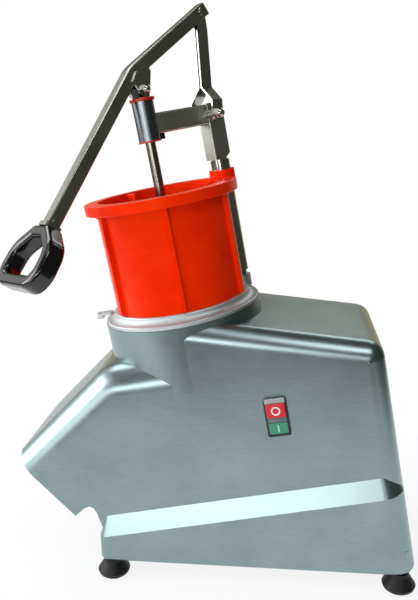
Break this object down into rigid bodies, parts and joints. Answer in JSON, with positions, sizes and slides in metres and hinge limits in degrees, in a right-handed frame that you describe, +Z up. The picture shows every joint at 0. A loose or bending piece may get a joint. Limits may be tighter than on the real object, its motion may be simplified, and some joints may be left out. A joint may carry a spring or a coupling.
{
  "type": "vegetable cutting machine",
  "caption": "Leaning-drum vegetable cutter: cast body with chute, slicing disc, orange hopper and a lever-worked pusher.",
  "frame": {"origin": "on the floor, midway between the four feet", "axes": "+Z up, +X towards the motor end (right in the picture), -Y towards the switch side (the front)"},
  "size_m": [0.5615, 0.3381, 0.7937],
  "materials": {
    "cast_aluminium": "brushed and polished casting",
    "stainless_steel": "brushed stainless steel",
    "polished_steel": "polished stainless steel",
    "orange_plastic": "glossy moulded plastic",
    "red_plastic": "turned plastic",
    "white_plastic": "moulded food-safe plastic",
    "black_plastic": "glossy moulded plastic",
    "grey_plastic": "moulded plastic bezel",
    "red_button": "moulded plastic",
    "green_button": "moulded plastic",
    "black_rubber": "moulded rubber"
  },
  "bodies": {
    "base": {"body_casting": "cast_aluminium", "base_plate": "stainless_steel", "base_screws": "stainless_steel", "rubber_feet": "black_rubber", "foot_bolts": "stainless_steel", "cord_gland": "black_plastic", "motor_plate": "stainless_steel", "motor_screws": "stainless_steel", "motor_housing": "cast_aluminium", "drive_belt": "black_rubber", "bearing_housing": "cast_aluminium", "upper_bearing": "stainless_steel", "lower_bearing": "stainless_steel", "shaft_seal": "black_rubber", "pivot_pin": "stainless_steel", "switch_frame": "grey_plastic", "switch_block": "black_plastic"},
    "disc": {"drive_shaft": "stainless_steel", "large_pulley": "cast_aluminium", "ejector_disc": "stainless_steel", "cutting_disc": "stainless_steel", "disc_blades": "stainless_steel", "blade_screws": "stainless_steel", "disc_nut": "stainless_steel"},
    "rotor": {"motor_shaft": "stainless_steel", "small_pulley": "cast_aluminium"},
    "stop_button": {"stop_button": "red_button"},
    "start_button": {"start_button": "green_button"},
    "lid": {"lid_ring": "cast_aluminium", "latch_tab": "stainless_steel", "hopper": "orange_plastic", "hopper_screws": "stainless_steel", "post_tube": "stainless_steel", "post_head": "stainless_steel", "pusher_arm": "stainless_steel", "guide_sleeve": "stainless_steel", "guide_bushes": "red_plastic", "guide_screw": "black_plastic"},
    "pusher": {"pusher_rod": "stainless_steel", "rod_head": "stainless_steel", "pusher_plate": "white_plastic", "pusher_nut": "stainless_steel"},
    "lever": {"lever_tube": "polished_steel", "lever_lugs": "stainless_steel", "rod_pin": "polished_steel", "lever_pin": "polished_steel", "lever_grip": "black_plastic", "grip_ferrule": "stainless_steel", "grip_screw": "polished_steel"},
    "link": {"link_front_strip": "stainless_steel", "link_rear_strip": "stainless_steel", "link_spacers": "stainless_steel", "link_bolts": "polished_steel"}
  },
  "joints": [
    {"name": "disc_spin", "type": "hinge", "parent": "base", "child": "disc", "pos_m": [-0.1079, 0, 0.3778], "axis": [-0.1661, 0, 0.9861], "continuous": true},
    {"name": "motor_spin", "type": "hinge", "parent": "base", "child": "rotor", "pos_m": [0.07946, 0, 0.40936], "axis": [-0.1661, 0, 0.9861], "continuous": true},
    {"name": "stop_press", "type": "slide", "parent": "base", "child": "stop_button", "axis": [0, 1, 0], "range_m": [0, 0.003], "stiffness_N_per_m": 300},
    {"name": "start_press", "type": "slide", "parent": "base", "child": "start_button", "axis": [0, 1, 0], "range_m": [0, 0.003], "stiffness_N_per_m": 300},
    {"name": "lid_swing", "type": "hinge", "parent": "base", "child": "lid", "pos_m": [-0.02739, 0.07884, 0.39136], "axis": [0.1661, 0, -0.9861], "range_deg": [0, 100]},
    {"name": "pusher_slide", "type": "slide", "parent": "lid", "child": "pusher", "axis": [-0.1661, 0, 0.9861], "range_m": [0, 0.17]},
    {"name": "lever_swing", "type": "hinge", "parent": "pusher", "child": "lever", "pos_m": [-0.15789, 0, 0.67462], "axis": [-0.685, 0.7193, -0.1154], "range_deg": [0, 68.48]},
    {"name": "link_swing", "type": "hinge", "parent": "lever", "child": "link", "pos_m": [-0.08614, 0.08544, 0.78132], "axis": [0.685, -0.7193, 0.1154], "range_deg": [0, 64.37]}
  ],
  "couplings": [
    {"joint": "motor_spin", "follows": "disc_spin", "ratio": 2.6},
    {"joint": "lever_swing", "follows": "pusher_slide", "rad_per_m": 6.9484},
    {"joint": "link_swing", "follows": "pusher_slide", "rad_per_m": 6.5268}
  ]
}
